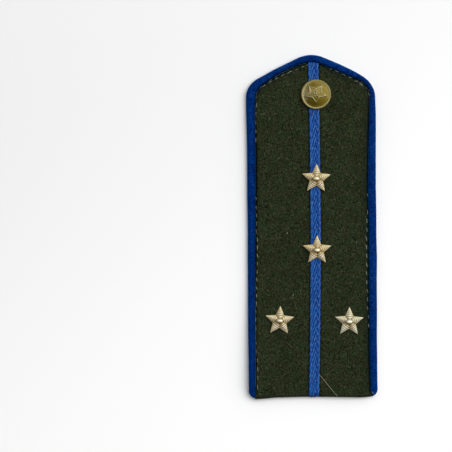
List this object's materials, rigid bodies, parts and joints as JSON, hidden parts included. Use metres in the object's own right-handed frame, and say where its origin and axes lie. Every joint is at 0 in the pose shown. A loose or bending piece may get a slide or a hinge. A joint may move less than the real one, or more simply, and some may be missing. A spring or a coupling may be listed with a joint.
{
  "type": "shoulder board",
  "caption": "Stiff cloth shoulder board with a pointed end, a piped edge, a braid down its middle, a round button and small metal stars.",
  "frame": {"origin": "centre of the board's back, on the surface that it lies on", "axes": "+Z out of the decorated face, +Y towards the pointed end, +X towards the wearer's side on the right of the face"},
  "size_m": [0.06, 0.1586, 0.0067],
  "materials": {
    "field_wool": "felted olive wool",
    "piping_cloth": "deep blue twill",
    "braid_thread": "plaited blue thread",
    "button_brass": "dull stamped brass",
    "star_metal": "pale gilt, ribbed"
  },
  "bodies": {
    "root": {"cloth_field": "field_wool", "piping": "piping_cloth", "centre_braid": "braid_thread", "button": "button_brass", "star_upper": "star_metal", "star_middle": "star_metal", "star_lower_left": "star_metal", "star_lower_right": "star_metal"}
  },
  "joints": []
}
